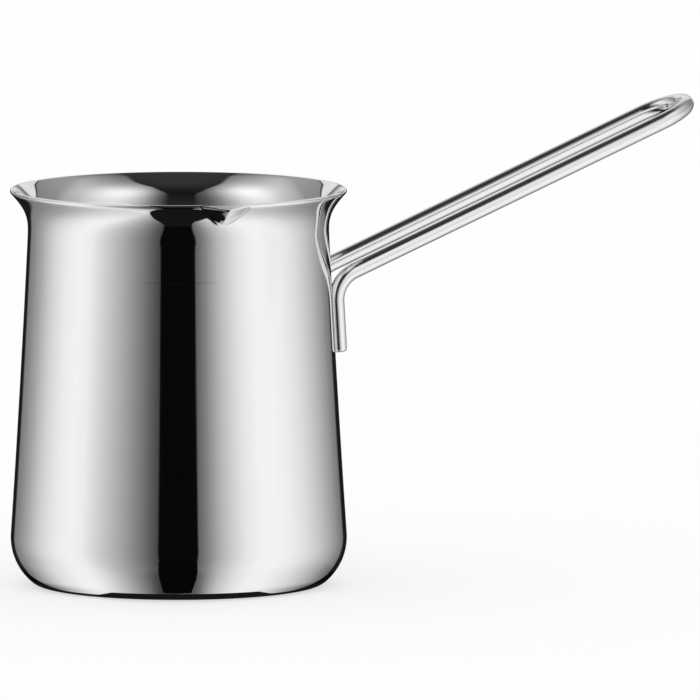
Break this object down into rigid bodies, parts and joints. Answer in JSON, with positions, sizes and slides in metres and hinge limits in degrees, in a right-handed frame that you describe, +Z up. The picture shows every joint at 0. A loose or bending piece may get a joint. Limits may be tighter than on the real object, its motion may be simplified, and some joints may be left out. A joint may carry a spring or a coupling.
{
  "type": "turkish coffee pot",
  "caption": "Long-handled stainless steel coffee pot (cezve): waisted vessel with a flared rim and pinched pouring lip, and a welded wire loop handle.",
  "frame": {"origin": "centre of the flat base, on the surface that the pot stands on", "axes": "+Z up along the pot's axis, +X towards the handle, -Y towards the pouring lip"},
  "size_m": [0.1773, 0.0868, 0.1196],
  "materials": {
    "polished_steel": "mirror-polished stainless steel, faint polishing lines round the wall",
    "wire_steel": "polished stainless steel wire, faint drawing lines along it",
    "weld_steel": "matte spot weld, slightly tinted by heat"
  },
  "bodies": {
    "root": {"pot_body": "polished_steel", "handle_rod": "wire_steel", "weld_spout_leg_upper": "weld_steel", "weld_spout_leg_lower": "weld_steel", "weld_far_leg_upper": "weld_steel", "weld_far_leg_lower": "weld_steel"}
  },
  "joints": []
}
